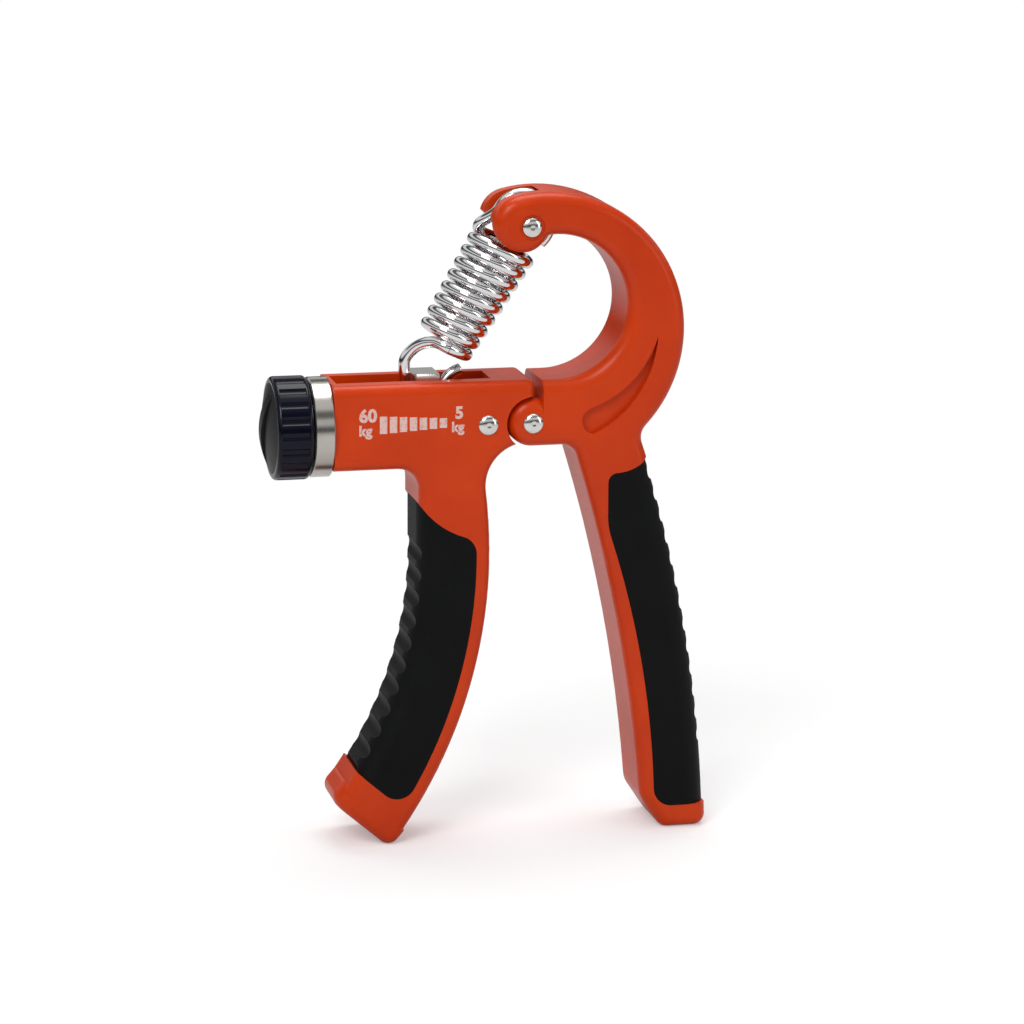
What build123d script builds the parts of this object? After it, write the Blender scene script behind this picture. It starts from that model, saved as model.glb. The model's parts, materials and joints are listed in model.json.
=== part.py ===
from build123d import *
import os
from math import atan2, cos, degrees, hypot, radians, sin, sqrt

# Adjustable spring hand gripper, in millimetres.
# The model is laid out about the hinge: X runs along the beam from the knob to the arm, Y runs
# from the front to the back, Z is up, and the hinge axis is the line X = Z = 0.
# The last function moves everything so that the origin is at the bottom centre of the whole.

# overall sizes
BODY_THICKNESS = 20.0
BEAM_LENGTH = 46.9
BEAM_TOP = 10.2
BEAM_BOTTOM = 9.9
FOOT_DEPTH = 100.2

# running and seating clearances
FIT_CLEARANCE = 0.02
RUN_CLEARANCE = 0.05
MOVING_GAP = 0.3

# hinge
KNUCKLE_RADIUS = 5.7
KNUCKLE_GAP = 0.6
NOTCH_WIDTH = 1.8
FIXING_RIVET_OFFSET = 10.7
PLATE_THICKNESS = 4.0
PLATE_TAIL_RADIUS = 3.4
PLATE_EYE_RADIUS = 4.5
WASHER_THICKNESS = 0.8
WASHER_RADIUS = 4.2

# rivets
RIVET_SHANK_RADIUS = 1.6
RIVET_HEAD_RADIUS = 2.4
RIVET_HEAD_HEIGHT = 0.9
RIVET_CAP_SOCKET = 0.4

# arm: an outer and an inner circle, and the round ears that carry the spring
ARM_OUTER_RADIUS = 33.0
ARM_OUTER_CENTRE = (3.6, 20.8)
ARM_INNER_RADIUS = 17.0
ARM_INNER_CENTRE = (5.9, 26.9)
EAR_RADIUS = 6.7
EAR_ANGLE = 103.7
EAR_SLOT_WIDTH = 8.0
EAR_SLOT_RADIUS = 8.4
EAR_FLAT = 4.3
EAR_FLAT_ANGLE = 226.0
PIN_X = -0.5
PIN_Z = 45.9
RIVET_RECESS_RADIUS = 3.0
RIVET_RECESS_DEPTH = 0.4
ARM_ROUND = 2.8
GROOVE_DEPTH = 1.6
GROOVE_INNER_RADIUS = 25.0
GROOVE_OUTER_RADIUS = 26.2
GROOVE_TIP_ANGLE = -2.5
GROOVE_START_ANGLE = -72.5
GROOVE_END_ANGLE = -65.5

# left handle
LEFT_HANDLE_WIDTH = 17.0
LEFT_INNER_X = -9.9
LEFT_INNER_RADIUS = 116.5
LEFT_OUTER_RADIUS = 96.0
LEFT_ARC_Z = -30.5
NECK_FILLET = 5.0
LEFT_FOOT_ANGLE = 41.0
FOOT_FLANGE = 1.0
FOOT_END_ROUND = 4.5
FOOT_TOP_ROUND = 0.8
FOOT_ROUND = 2.8
FOOT_HEIGHT = 5.8
SOLE_INSET = 1.5
UNDERSIDE_Z = -16.0
SEAT_END_ANGLE = 235.0
NOTCH_ROUND = 1.6
LEFT_GRIP_TOP_Z = -18.2
LEFT_GRIP_CORNER_Z = -27.0

# right handle
RIGHT_THROAT_X = 10.1
RIGHT_INNER_MIDDLE = (21.0, -48.0)
RIGHT_HEEL = (27.1, -92.2)
RIGHT_SOLE_INNER = 32.4
RIGHT_SOLE_OUTER = 43.4
RIGHT_OUTER_MIDDLE = (37.4, -46.3)
WAIST_ANGLE = -47.5
WAIST_ROUND = 4.0
HEEL_ROUND = 6.0
THROAT_ROUND = 4.0
RIGHT_GRIP_END_Z = -94.5
RIGHT_GRIP_SIDE_X = 18.1
RIGHT_GRIP_SIDE_Z = -25.5
RIGHT_RIDGE_Z = -13.5
RIGHT_GRIP_TOP = ((18.1, -12.4), (23.4, -12.0), (28.6, -8.0))

# grips
GRIP_MARGIN = 3.5
GRIP_SKIN = 2.0
GRIP_PAD = 3.2
GRIP_ROUND = 5.5
HANDLE_ROUND = 2.4
RIDGE_PITCH = 5.5
RIDGE_COUNT = 11
RIDGE_DEPTH = 0.9
RIDGE_CUT = 2.6
GRIP_CORNER = 4.5

# lead screw, bearing, ring and knob
SLOT_WIDTH = 9.8
SLOT_FLOOR = -5.6
SLOT_STEP = 5.2
SLOT_RIGHT = -9.2
SLOT_WALL = 1.3
PIT_RIGHT = -15.0
SCREW_Z = -0.7
SCREW_RADIUS = 2.9
JOURNAL_RADIUS = 2.5
CLIP_NECK_RADIUS = 1.9
CLIP_THICKNESS = 0.8
CLIP_RADIUS = 4.0
CLIP_LEFT = -17.0
COLLAR_RADIUS = 4.4
COLLAR_LENGTH = 1.4
BEARING_RADIUS = 5.0
BOSS_RADIUS = 9.95
RING_RADIUS = 11.7
RING_LENGTH = 4.7
RING_CHAMFER = 0.3
THRUST_RADIUS = 6.0
THRUST_THICKNESS = 0.8
KNOB_RADIUS = 12.1
KNOB_LENGTH = 8.4
KNOB_EDGE = 1.0
KNOB_FLUTES = 20
FLUTE_DEPTH = 0.45
FLUTE_RADIUS = 1.5
CAP_RADIUS = 10.6
CAP_SEAT = 1.3
CAP_DOME = 1.7
WING_HEIGHT = 0.8
WING_WIDTH = 3.2
WING_TURN = 20.0
FIXING_HEAD_RADIUS = 2.7
FIXING_HEAD_LENGTH = 1.3
FIXING_SHANK_RADIUS = 1.25
FIXING_SHANK_LENGTH = 6.0

# travelling nut and the bar that the spring hook passes under
NUT_X = -23.9
NUT_LENGTH = 6.2
NUT_TOP = 11.6
NUT_WINDOW_BOTTOM = 3.8
NUT_WINDOW_TOP = 7.4
NUT_WINDOW_WIDTH = 3.6
NUT_SIDE_GAP = 0.2
NUT_CHAMFER = 0.4

# tension spring
WIRE_RADIUS = 1.2
COIL_TURNS = 8.5
COIL_SWING = 9.0
COIL_TOP = (-5.0, 40.9)
COIL_BOTTOM = (-19.3, 17.7)
COIL_TOP_RADIUS = 7.0
COIL_BOTTOM_RADIUS = 5.9
BUSH_RADIUS = 5.1
BUSH_FLANGE_RADIUS = 5.9
BUSH_FLANGE_WIDTH = 1.4
HOOK_START_ANGLE = 150.0
HOOK_END_ANGLE = -50.0
HOOK_RISE = Vector(-9.8, 3.6, -1.4)
HOOK_BEND = 1.8
HOOK_TAIL_LEAN = 1.4
HOOK_LOWER_POINTS = (Vector(-26.4, -0.9, 17.2), Vector(-22.6, -3.4, 18.9))

# printed scale: bars that shrink from the heavy end to the light end
BAR_COUNT = 7
BAR_LEFT = -36.4
BAR_PITCH = 2.35
BAR_WIDTH = 1.75
BAR_HEIGHT_FIRST = 4.1
BAR_HEIGHT_LAST = 2.3
BAR_Z = 1.0
PRINT_THICKNESS = 0.06

HALF = BODY_THICKNESS / 2
LONG = 200.0

BEAM_LEFT = -BEAM_LENGTH
SLOT_LEFT = BEAM_LEFT + SLOT_WALL
RING_LEFT = BEAM_LEFT - RING_LENGTH
KNOB_RIGHT = RING_LEFT - MOVING_GAP
KNOB_LEFT = KNOB_RIGHT - KNOB_LENGTH
CAP_BACK = KNOB_LEFT + CAP_SEAT
RECESS_FLOOR = CAP_BACK + FIXING_HEAD_LENGTH
SEAT_RADIUS = KNUCKLE_RADIUS + KNUCKLE_GAP
CLEVIS_HALF = PLATE_THICKNESS / 2 + WASHER_THICKNESS + 2 * RUN_CLEARANCE
PIN = Vector(PIN_X, 0, PIN_Z)

LEFT_INNER_CENTRE = (LEFT_INNER_X - LEFT_INNER_RADIUS, LEFT_ARC_Z)
LEFT_OUTER_X = LEFT_INNER_X - LEFT_HANDLE_WIDTH
LEFT_OUTER_CENTRE = (LEFT_OUTER_X - LEFT_OUTER_RADIUS, LEFT_ARC_Z)


def on_circle(centre, radius, angle):
    """Point on a circle in the XZ plane, angle in degrees from +X towards +Z."""
    return (centre[0] + radius * cos(radians(angle)), centre[1] + radius * sin(radians(angle)))


def circle_x(centre, radius, z):
    """The right-hand X of a circle at height z."""
    return centre[0] + sqrt(radius**2 - (z - centre[1]) ** 2)


def slab(curves, half=HALF):
    """A plate of the outline that the curves close, centred on the middle plane."""
    return extrude(make_face(Plane.XZ * curves), half, both=True)


def rounded_slab(curves, corners, half=HALF):
    """A plate whose outline has some corners rounded: corners is a list of (point, radius)."""
    face = make_face(curves)
    for point, radius in corners:
        vertex = face.vertices().sort_by_distance(Vector(point[0], point[1], 0))[0]
        face = fillet(vertex, radius)
    return extrude(Plane.XZ * face, half, both=True)


def along_y(radius, x=0.0, z=0.0, y_from=-HALF, y_to=HALF):
    """A cylinder whose axis runs from front to back."""
    length = y_to - y_from
    return Pos(x, (y_from + y_to) / 2, z) * Rot(90, 0, 0) * Cylinder(radius, length)


def along_x(radius, x_from, x_to, z=SCREW_Z):
    """A cylinder whose axis runs along the beam."""
    return Pos((x_from + x_to) / 2, 0, z) * Rot(0, 90, 0) * Cylinder(radius, x_to - x_from)


def block(x_from, x_to, y_from, y_to, z_from, z_to):
    """A box given by its two corners."""
    middle = Pos((x_from + x_to) / 2, (y_from + y_to) / 2, (z_from + z_to) / 2)
    return middle * Box(x_to - x_from, y_to - y_from, z_to - z_from)


def rim_edges(solid, keep_sharp=None):
    """The edges of the front and back faces, apart from those whose middle is kept sharp."""
    edges = []
    for edge in solid.edges():
        middle = edge @ 0.5
        flat = abs((edge @ 0).Y - (edge @ 1).Y) < 1e-3
        if flat and abs(abs(middle.Y) - HALF) < 1e-3:
            if not (keep_sharp and keep_sharp(middle)):
                edges.append(edge)
    return edges


def arc_between(centre, radius, start, end):
    """The arc of a circle from one of its points to another, the short way round."""
    first = degrees(atan2(start[1] - centre[1], start[0] - centre[0]))
    last = degrees(atan2(end[1] - centre[1], end[0] - centre[0]))
    sweep = (last - first + 180) % 360 - 180
    return CenterArc(centre, radius, first, sweep)


def line_meets_circle(start, direction, centre, radius):
    """Where a ray first leaves a circle that it starts inside, or enters one from outside."""
    dx, dz = start[0] - centre[0], start[1] - centre[1]
    half_b = dx * direction[0] + dz * direction[1]
    root = sqrt(half_b**2 - dx**2 - dz**2 + radius**2)
    travel = min(t for t in (-half_b - root, -half_b + root) if t > 0)
    return (start[0] + travel * direction[0], start[1] + travel * direction[1])


def left_sole(rise=0.0, inner_radius=LEFT_INNER_RADIUS):
    """Inner and outer end of a line across the left handle, parallel to its sole."""
    slope = radians(LEFT_FOOT_ANGLE)
    corner_drop = FOOT_ROUND * (sin(slope) + cos(slope) - 1)
    low_z = -FOOT_DEPTH - corner_drop + rise / cos(slope)
    edge = (circle_x(LEFT_INNER_CENTRE, LEFT_INNER_RADIUS, low_z), low_z)
    along = (-cos(slope), sin(slope))
    outer = line_meets_circle(edge, along, LEFT_OUTER_CENTRE, LEFT_OUTER_RADIUS)
    if inner_radius == LEFT_INNER_RADIUS:
        return edge, outer
    back = (-along[0], -along[1])
    return line_meets_circle(outer, back, LEFT_INNER_CENTRE, inner_radius), outer


def left_outline():
    """Beam, seat of the knuckle, neck and left handle, drawn once round."""
    seat_top = (KNUCKLE_GAP, sqrt(SEAT_RADIUS**2 - KNUCKLE_GAP**2))
    seat_end = on_circle((0, 0), SEAT_RADIUS, SEAT_END_ANGLE)
    inner_top = (circle_x(LEFT_INNER_CENTRE, LEFT_INNER_RADIUS, UNDERSIDE_Z), UNDERSIDE_Z)
    inner_low, outer_low = left_sole(SOLE_INSET)
    outer_top = (LEFT_OUTER_X, LEFT_ARC_Z)
    neck_corner = (LEFT_OUTER_X, -BEAM_BOTTOM)
    upward = (LEFT_ARC_Z - UNDERSIDE_Z, inner_top[0] - LEFT_INNER_CENTRE[0])
    curves = Line((BEAM_LEFT, BEAM_TOP), (KNUCKLE_GAP, BEAM_TOP))
    curves += Line((KNUCKLE_GAP, BEAM_TOP), seat_top)
    curves += ThreePointArc(seat_top, (-SEAT_RADIUS, 0), seat_end)
    curves += TangentArc(inner_top, seat_end, tangent=upward)
    curves += arc_between(LEFT_INNER_CENTRE, LEFT_INNER_RADIUS, inner_top, inner_low)
    curves += Line(inner_low, outer_low)
    curves += arc_between(LEFT_OUTER_CENTRE, LEFT_OUTER_RADIUS, outer_low, outer_top)
    curves += Line(outer_top, neck_corner)
    curves += Line(neck_corner, (BEAM_LEFT, -BEAM_BOTTOM))
    curves += Line((BEAM_LEFT, -BEAM_BOTTOM), (BEAM_LEFT, BEAM_TOP))
    corners = [
        ((KNUCKLE_GAP, BEAM_TOP), NOTCH_ROUND),
        (inner_low, FOOT_ROUND),
        (outer_low, FOOT_ROUND),
        (neck_corner, NECK_FILLET),
    ]
    return curves, corners


def left_foot():
    """The sole with its flange, proud of the grip on the outer side and rounded like it."""
    inner, outer = left_sole()
    slope = radians(LEFT_FOOT_ANGLE)
    up = (sin(slope), 0, cos(slope))
    length = hypot(outer[0] - inner[0], outer[1] - inner[1]) + FOOT_FLANGE
    foot = Pos(length / 2, 0, FOOT_HEIGHT / 2) * Box(length, BODY_THICKNESS, FOOT_HEIGHT)
    upright = foot.edges().filter_by(Axis.Z)
    foot = fillet(upright.group_by(Axis.X)[-1], FOOT_END_ROUND)
    foot = fillet(foot.edges().filter_by(Axis.Z).group_by(Axis.X)[0], HANDLE_ROUND)
    foot = fillet(foot.faces().sort_by(Axis.Z)[0].edges(), FOOT_ROUND)
    far_rim = foot.faces().sort_by(Axis.Z)[-1].edges().sort_by(Axis.X)[-3:]
    foot = fillet(far_rim, FOOT_TOP_ROUND)
    return Plane((inner[0], 0, inner[1]), x_dir=(-cos(slope), 0, sin(slope)), z_dir=up) * foot


def left_grip_region(outer_radius, beyond):
    """The face of the left grip seen from the front, reaching beyond its outer side if asked."""
    boundary = LEFT_INNER_RADIUS - GRIP_MARGIN
    inner_low, outer_low = left_sole(FOOT_HEIGHT, boundary)
    inner_top = (circle_x(LEFT_INNER_CENTRE, boundary, LEFT_GRIP_CORNER_Z), LEFT_GRIP_CORNER_Z)
    outer_top = (LEFT_OUTER_X, LEFT_GRIP_TOP_Z)
    across = ((inner_top[0] + outer_top[0]) / 2 - 1.0, (inner_top[1] + outer_top[1]) / 2 - 1.4)
    curves = arc_between(LEFT_INNER_CENTRE, boundary, inner_top, inner_low)
    curves += Line(inner_low, outer_low)
    if beyond:
        far_low = (outer_low[0] - beyond, outer_low[1] + beyond * sin(radians(LEFT_FOOT_ANGLE)))
        far_top = (outer_top[0] - beyond, outer_top[1])
        curves += Polyline(outer_low, far_low, far_top, outer_top)
    else:
        curves += arc_between(LEFT_OUTER_CENTRE, outer_radius, outer_low, (LEFT_OUTER_X, LEFT_ARC_Z))
        curves += Line((LEFT_OUTER_X, LEFT_ARC_Z), outer_top)
    curves += ThreePointArc(outer_top, across, inner_top)
    corners = [(inner_low, GRIP_CORNER), (inner_top, GRIP_CORNER)]
    return curves, corners


def left_core():
    """What the left body keeps inside its grip."""
    curves, corners = left_grip_region(LEFT_OUTER_RADIUS, LONG / 10)
    core = rounded_slab(curves, corners, HALF - GRIP_SKIN)
    core -= along_y(LEFT_OUTER_RADIUS + GRIP_PAD, *LEFT_OUTER_CENTRE)
    core -= block(-LONG, LEFT_OUTER_X + GRIP_PAD, -HALF, HALF, LEFT_ARC_Z, 0)
    return core


def sharp_on_left(middle):
    """Edges of the left body that stay sharp: its knob end and the seat of the knuckle."""
    return middle.X < BEAM_LEFT + 0.1 or hypot(middle.X, middle.Z) < SEAT_RADIUS + 0.1


def plate_shape(half, grow=0.0):
    """The hinge plate: a tail round the fixing rivet and an eye round the hinge pin."""
    tail = Pos(-FIXING_RIVET_OFFSET, 0) * Circle(PLATE_TAIL_RADIUS + grow)
    eye = Circle(PLATE_EYE_RADIUS + grow)
    return extrude(Plane.XZ * make_hull((tail + eye).edges()), half, both=True)


def left_body():
    curves, corners = left_outline()
    body = rounded_slab(curves, corners)
    body = fillet(rim_edges(body, sharp_on_left), HANDLE_ROUND)
    cut, cut_corners = left_grip_region(LEFT_OUTER_RADIUS, LONG / 10)
    body -= rounded_slab(cut, cut_corners, HALF + 1)
    body += left_core()
    body += left_foot()
    body += along_x(BOSS_RADIUS, RING_LEFT, BEAM_LEFT)
    body -= along_x(BEARING_RADIUS + FIT_CLEARANCE, RING_LEFT, SLOT_LEFT)
    half = SLOT_WIDTH / 2
    body -= block(SLOT_LEFT, PIT_RIGHT, -half, half, SLOT_FLOOR, BEAM_TOP)
    body -= block(SLOT_LEFT, SLOT_RIGHT, -half, half, SLOT_STEP, BEAM_TOP)
    body -= plate_shape(PLATE_THICKNESS / 2 + FIT_CLEARANCE, 2 * RUN_CLEARANCE)
    body -= along_y(RIVET_SHANK_RADIUS + FIT_CLEARANCE, -FIXING_RIVET_OFFSET)
    return body


def left_grip():
    curves, corners = left_grip_region(LEFT_OUTER_RADIUS, 0)
    grip = rounded_slab(curves, corners)
    outer = []
    for edge in rim_edges(grip):
        middle = edge @ 0.5
        on_arc = hypot(middle.X - LEFT_OUTER_CENTRE[0], middle.Z - LEFT_OUTER_CENTRE[1])
        if abs(on_arc - LEFT_OUTER_RADIUS) < 0.01 or abs(middle.X - LEFT_OUTER_X) < 0.01:
            outer.append(edge)
    grip = fillet(outer, GRIP_ROUND)
    grip -= left_core()
    step = degrees(RIDGE_PITCH / LEFT_OUTER_RADIUS)
    for n in range(RIDGE_COUNT):
        valley = on_circle(LEFT_OUTER_CENTRE, LEFT_OUTER_RADIUS - RIDGE_CUT + RIDGE_DEPTH, -step * n)
        grip -= along_y(RIDGE_CUT, *valley)
    return grip


def right_points():
    """The corners of the right body's outline, by name."""
    sole = -FOOT_DEPTH
    notch_x = KNUCKLE_GAP + NOTCH_WIDTH
    ear = on_circle(ARM_OUTER_CENTRE, ARM_OUTER_RADIUS - EAR_RADIUS, EAR_ANGLE)
    step_z = ARM_INNER_CENTRE[1] - ARM_INNER_RADIUS
    across = hypot(ear[0] - ARM_INNER_CENTRE[0], ear[1] - ARM_INNER_CENTRE[1])
    back = (across**2 + EAR_RADIUS**2 - ARM_INNER_RADIUS**2) / (2 * across)
    side = sqrt(EAR_RADIUS**2 - back**2)
    to_ear = ((ARM_INNER_CENTRE[0] - ear[0]) / across, (ARM_INNER_CENTRE[1] - ear[1]) / across)
    crotch = (ear[0] + back * to_ear[0] - side * to_ear[1], ear[1] + back * to_ear[1] + side * to_ear[0])
    return {
        "ear": ear,
        "crotch": crotch,
        "crown": on_circle(ARM_OUTER_CENTRE, ARM_OUTER_RADIUS, EAR_ANGLE),
        "ear_side": on_circle(ear, EAR_RADIUS, 220),
        "notch_low": (notch_x, sqrt(KNUCKLE_RADIUS**2 - notch_x**2)),
        "notch_top": (notch_x, step_z),
        "loop_start": (ARM_INNER_CENTRE[0], step_z),
        "waist": on_circle(ARM_OUTER_CENTRE, ARM_OUTER_RADIUS, WAIST_ANGLE),
        "outer_low": (RIGHT_SOLE_OUTER, sole),
        "sole_in": (RIGHT_SOLE_INNER, sole),
        "heel": (RIGHT_HEEL[0], RIGHT_HEEL[1]),
        "throat": (RIGHT_THROAT_X, -KNUCKLE_RADIUS),
    }


def right_body_shape():
    """The arm, its ears, the knuckle and the right handle, with the grip still part of it."""
    p = right_points()
    loop_side = on_circle(ARM_INNER_CENTRE, ARM_INNER_RADIUS, 0)
    arm_side = on_circle(ARM_OUTER_CENTRE, ARM_OUTER_RADIUS, 0)
    curves = Line(p["notch_low"], p["notch_top"])
    curves += Line(p["notch_top"], p["loop_start"])
    curves += ThreePointArc(p["loop_start"], loop_side, p["crotch"])
    curves += ThreePointArc(p["crotch"], p["ear_side"], p["crown"])
    curves += ThreePointArc(p["crown"], arm_side, p["waist"])
    curves += ThreePointArc(p["waist"], RIGHT_OUTER_MIDDLE, p["outer_low"])
    curves += Line(p["outer_low"], p["sole_in"])
    curves += Line(p["sole_in"], p["heel"])
    curves += ThreePointArc(p["heel"], RIGHT_INNER_MIDDLE, p["throat"])
    curves += Line(p["throat"], (0, -KNUCKLE_RADIUS))
    curves += ThreePointArc((0, -KNUCKLE_RADIUS), (-KNUCKLE_RADIUS, 0), p["notch_low"])
    corners = [
        (p["crotch"], NOTCH_ROUND),
        (p["waist"], WAIST_ROUND),
        (p["outer_low"], FOOT_ROUND),
        (p["sole_in"], FOOT_ROUND),
        (p["heel"], HEEL_ROUND),
        (p["throat"], THROAT_ROUND),
    ]
    return rounded_slab(curves, corners)


def right_grip_region(beyond):
    """The face of the right grip seen from the front, reaching beyond its outer side if asked."""
    p = right_points()
    heel = RIGHT_HEEL
    shift = GRIP_MARGIN
    side_top, brow, outer_top = RIGHT_GRIP_TOP
    side_middle = (RIGHT_INNER_MIDDLE[0] + shift, RIGHT_INNER_MIDDLE[1])
    low = (heel[0] + shift - 0.4, RIGHT_GRIP_END_Z)
    side_low = (RIGHT_GRIP_SIDE_X, RIGHT_GRIP_SIDE_Z)
    far_top = (outer_top[0] + beyond, outer_top[1])
    far_low = (p["outer_low"][0] + beyond, RIGHT_GRIP_END_Z)
    curves = Line(side_top, side_low)
    curves += ThreePointArc(side_low, side_middle, low)
    curves += Polyline(low, far_low, far_top, outer_top)
    curves += ThreePointArc(outer_top, brow, side_top)
    corners = [(low, GRIP_CORNER), (side_top, GRIP_CORNER / 2), (side_low, 4 * GRIP_CORNER)]
    return curves, corners


def right_grip_prism(half, beyond=LONG / 10):
    curves, corners = right_grip_region(beyond)
    return rounded_slab(curves, corners, half)


def right_outer_circle():
    """Centre and radius of the long arc down the right handle's outer side."""
    p = right_points()
    arc = ThreePointArc(p["waist"], RIGHT_OUTER_MIDDLE, p["outer_low"])
    return (arc.arc_center.X, arc.arc_center.Y), arc.radius


def right_core():
    """What the right body keeps inside its grip."""
    centre, radius = right_outer_circle()
    core = right_grip_prism(HALF - GRIP_SKIN)
    return core & along_y(radius - GRIP_PAD, *centre)


def sharp_on_right(middle):
    """Edges of the right body that stay sharp: the knuckle and the side of the notch."""
    in_notch = middle.X < KNUCKLE_GAP + NOTCH_WIDTH + 0.1 and 0 < middle.Z < BEAM_TOP - 1
    return in_notch or hypot(middle.X, middle.Z) < KNUCKLE_RADIUS + 0.1


def groove_shape(depth):
    """The crescent groove on the arm's front and back, between two arcs with a round end."""
    tip = on_circle(ARM_OUTER_CENTRE, GROOVE_OUTER_RADIUS, GROOVE_TIP_ANGLE)
    top = on_circle(ARM_INNER_CENTRE, GROOVE_INNER_RADIUS, GROOVE_START_ANGLE)
    low = on_circle(ARM_OUTER_CENTRE, GROOVE_OUTER_RADIUS, GROOVE_END_ANGLE)
    top_middle = on_circle(ARM_INNER_CENTRE, GROOVE_INNER_RADIUS, (GROOVE_START_ANGLE - 18) / 2)
    low_middle = on_circle(ARM_OUTER_CENTRE, GROOVE_OUTER_RADIUS, (GROOVE_END_ANGLE + GROOVE_TIP_ANGLE) / 2)
    end = ((top[0] + low[0]) / 2 - 2.2, (top[1] + low[1]) / 2 - 0.4)
    curves = ThreePointArc(tip, top_middle, top)
    curves += ThreePointArc(top, end, low)
    curves += ThreePointArc(low, low_middle, tip)
    return Pos(0, -HALF + depth / 2, 0) * slab(curves, depth / 2)


def coil_place():
    """The spring's own frame: Z up the coil, X to the front, Y towards the arm."""
    bottom = Vector(COIL_BOTTOM[0], 0, COIL_BOTTOM[1])
    top = Vector(COIL_TOP[0], 0, COIL_TOP[1])
    return Plane(bottom, x_dir=(0, -1, 0), z_dir=top - bottom), (top - bottom).length


def right_body():
    body = fillet(rim_edges(right_body_shape(), sharp_on_right), ARM_ROUND)
    centre, radius = right_outer_circle()
    body -= right_grip_prism(HALF + 1)
    body += right_core()
    groove = groove_shape(GROOVE_DEPTH)
    body -= groove
    body -= mirror(groove, about=Plane.XZ)
    body -= along_y(PLATE_EYE_RADIUS + 2 * MOVING_GAP, y_from=-CLEVIS_HALF, y_to=CLEVIS_HALF)
    body -= block(-HALF, 0, -CLEVIS_HALF, CLEVIS_HALF, -HALF, HALF)
    body -= along_y(RIVET_SHANK_RADIUS + FIT_CLEARANCE)
    half = EAR_SLOT_WIDTH / 2
    body -= along_y(EAR_SLOT_RADIUS, PIN_X, PIN_Z, -half, half)
    body -= block(PIN_X - 2 * HALF, PIN_X, -half, half, PIN_Z - HALF, PIN_Z + HALF)
    body -= along_y(RIVET_SHANK_RADIUS + FIT_CLEARANCE, PIN_X, PIN_Z)
    recess = RIVET_RECESS_DEPTH
    body -= along_y(RIVET_RECESS_RADIUS, PIN_X, PIN_Z, -HALF, recess - HALF)
    body -= along_y(RIVET_RECESS_RADIUS, PIN_X, PIN_Z, HALF - recess, HALF)
    place, length = coil_place()
    room = Cylinder(COIL_TOP_RADIUS + WIRE_RADIUS + 2 * MOVING_GAP, length)
    room = place * Pos(0, 0, length / 2 + 2 * WIRE_RADIUS) * room
    for swing in (-COIL_SWING, 0, COIL_SWING):
        swung = Pos(PIN) * Rot(0, swing, 0) * Pos(-PIN) * room
        body -= swung & block(-LONG, LONG, -HALF, 0, 0, LONG)
    depth = HALF - half
    slope = radians(EAR_FLAT_ANGLE)
    place = Plane(PIN, x_dir=(0, 1, 0), z_dir=(cos(slope), 0, sin(slope)))
    cut = Box(depth + FIT_CLEARANCE, 2 * EAR_SLOT_RADIUS, 2 * EAR_RADIUS)
    body -= place * Pos(half + depth / 2, 0, EAR_FLAT + EAR_RADIUS) * cut
    return body


def right_grip():
    centre, radius = right_outer_circle()
    grip = right_grip_prism(HALF) & along_y(radius, *centre)
    outer = []
    for edge in rim_edges(grip):
        middle = edge @ 0.5
        if abs(hypot(middle.X - centre[0], middle.Z - centre[1]) - radius) < 0.01:
            outer.append(edge)
    grip = fillet(outer, GRIP_ROUND)
    grip -= right_core()
    step = degrees(RIDGE_PITCH / radius)
    first = degrees(atan2(RIGHT_RIDGE_Z - centre[1], sqrt(radius**2 - (RIGHT_RIDGE_Z - centre[1]) ** 2)))
    for n in range(RIDGE_COUNT + 2):
        valley = on_circle(centre, radius + RIDGE_CUT - RIDGE_DEPTH, first - step * n)
        grip -= along_y(RIDGE_CUT, *valley)
    return grip


def dome(radius, height):
    """A shallow dome on the XY plane, pointing up."""
    ball = (radius**2 + height**2) / (2 * height)
    ball_z = height - ball
    return Pos(0, 0, ball_z) * Sphere(ball) & Pos(0, 0, height / 2) * Cylinder(radius, height)


def rivet(x, z, recess=0.0):
    """A domed head at the front and a shank that ends in the cap at the back."""
    seat = HALF - recess
    shank = along_y(RIVET_SHANK_RADIUS, x, z, -seat, seat + RIVET_CAP_SOCKET)
    head = Pos(x, -seat, z) * Rot(90, 0, 0) * dome(RIVET_HEAD_RADIUS, RIVET_HEAD_HEIGHT)
    return shank + head


def rivet_cap(x, z, recess=0.0):
    """The domed cap pressed on the rivet's end at the back."""
    seat = HALF - recess
    cap = Pos(x, seat, z) * Rot(-90, 0, 0) * dome(RIVET_HEAD_RADIUS, RIVET_HEAD_HEIGHT)
    return cap - along_y(RIVET_SHANK_RADIUS, x, z, seat, seat + RIVET_CAP_SOCKET)


def hinge_plate():
    plate = plate_shape(PLATE_THICKNESS / 2)
    plate -= along_y(RIVET_SHANK_RADIUS + RUN_CLEARANCE)
    return plate - along_y(RIVET_SHANK_RADIUS + FIT_CLEARANCE, -FIXING_RIVET_OFFSET)


def hinge_washers():
    """A washer each side of the hinge plate, in the knuckle's fork."""
    washers = []
    for side in (-1, 1):
        inner = side * (PLATE_THICKNESS / 2 + RUN_CLEARANCE)
        outer = side * (PLATE_THICKNESS / 2 + RUN_CLEARANCE + WASHER_THICKNESS)
        low, high = sorted((inner, outer))
        ring = along_y(WASHER_RADIUS, y_from=low, y_to=high)
        washers.append(ring - along_y(RIVET_SHANK_RADIUS + FIT_CLEARANCE))
    return washers


def end_bearing():
    bush = along_x(BEARING_RADIUS, RING_LEFT, SLOT_LEFT)
    return bush - along_x(JOURNAL_RADIUS + RUN_CLEARANCE, RING_LEFT, SLOT_LEFT)


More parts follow.
